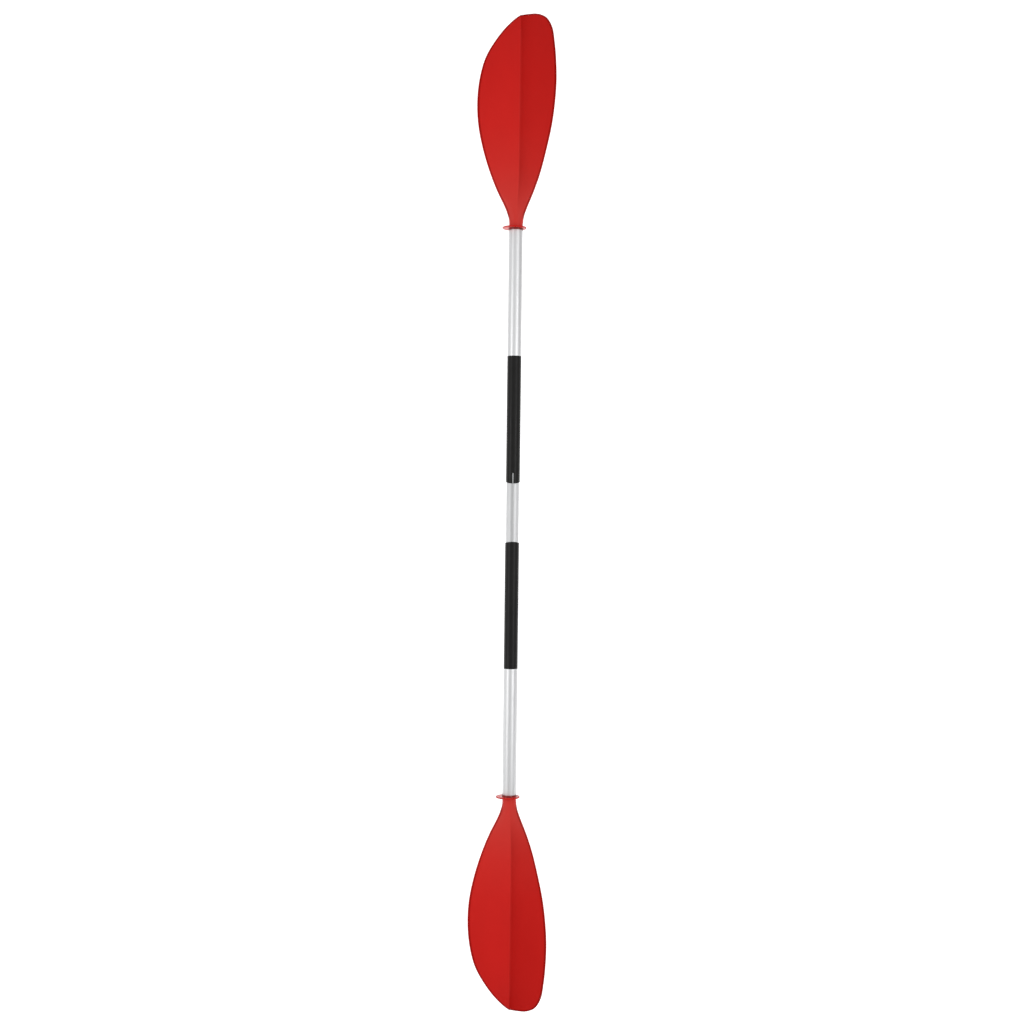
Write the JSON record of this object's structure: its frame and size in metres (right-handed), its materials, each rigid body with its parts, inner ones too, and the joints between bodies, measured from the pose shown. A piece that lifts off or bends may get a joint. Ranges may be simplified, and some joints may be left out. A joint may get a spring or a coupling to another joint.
{
  "type": "kayak paddle",
  "caption": "Take-apart kayak paddle: asymmetric spooned blades on a tubular shaft with sleeve grips, drip rings and a ferrule joint locked by a spring button.",
  "frame": {"origin": "middle of the shaft's axis, halfway between the two blade tips, where a hand or a clip holds the paddle", "axes": "+Z along the shaft towards the half that pulls off, -Y the way both power faces look, +X towards the blades' longer edges"},
  "size_m": [0.1831, 0.0569, 2.299],
  "materials": {
    "red_plastic": "injection-moulded red plastic with a fine satin grain",
    "soft_red": "soft glossy red elastomer",
    "satin_aluminium": "drawn tube, satin, with fine lengthwise lines",
    "black_sleeve": "thin black shrunk sleeve with a fine matt texture",
    "spring_steel": "stainless, bright",
    "black_rubber": "moulded nitrile",
    "grey_plastic": "moulded dark grey polyethylene"
  },
  "bodies": {
    "lower_half": {"lower_blade": "red_plastic", "lower_shaft_tube": "satin_aluminium", "lower_grip": "black_sleeve", "lower_shaft_bung": "grey_plastic", "centre_tube": "satin_aluminium", "centre_tube_cap": "grey_plastic", "lower_blade_pin_1": "spring_steel", "lower_blade_pin_2": "spring_steel", "centre_tube_pin_1": "spring_steel", "centre_tube_pin_2": "spring_steel"},
    "seal": {"joint_seal_ring": "black_rubber"},
    "upper_half": {"upper_blade": "red_plastic", "upper_shaft_tube": "satin_aluminium", "upper_grip": "black_sleeve", "upper_shaft_bung": "grey_plastic", "upper_blade_pin_1": "spring_steel", "upper_blade_pin_2": "spring_steel"},
    "button": {"snap_button_clip": "spring_steel"},
    "upper_ring": {"upper_drip_ring": "soft_red"},
    "lower_ring": {"lower_drip_ring": "soft_red"}
  },
  "joints": [
    {"name": "feather_turn", "type": "hinge", "parent": "lower_half", "child": "seal", "pos_m": [0, 0, 0.106], "axis": [0, 0, 1], "range_deg": [-60, 60]},
    {"name": "pull_apart", "type": "slide", "parent": "seal", "child": "upper_half", "axis": [0, 0, 1], "range_m": [0, 0.15]},
    {"name": "button_press", "type": "slide", "parent": "lower_half", "child": "button", "axis": [0, -1, 0], "range_m": [0, 0.0045], "stiffness_N_per_m": 2500, "springref_m": -0.001, "deforming": ["snap_button_clip"]},
    {"name": "upper_ring_slide", "type": "slide", "parent": "upper_half", "child": "upper_ring", "axis": [0, 0, -1], "range_m": [0, 0.28]},
    {"name": "lower_ring_slide", "type": "slide", "parent": "lower_half", "child": "lower_ring", "axis": [0, 0, 1], "range_m": [0, 0.28]}
  ]
}
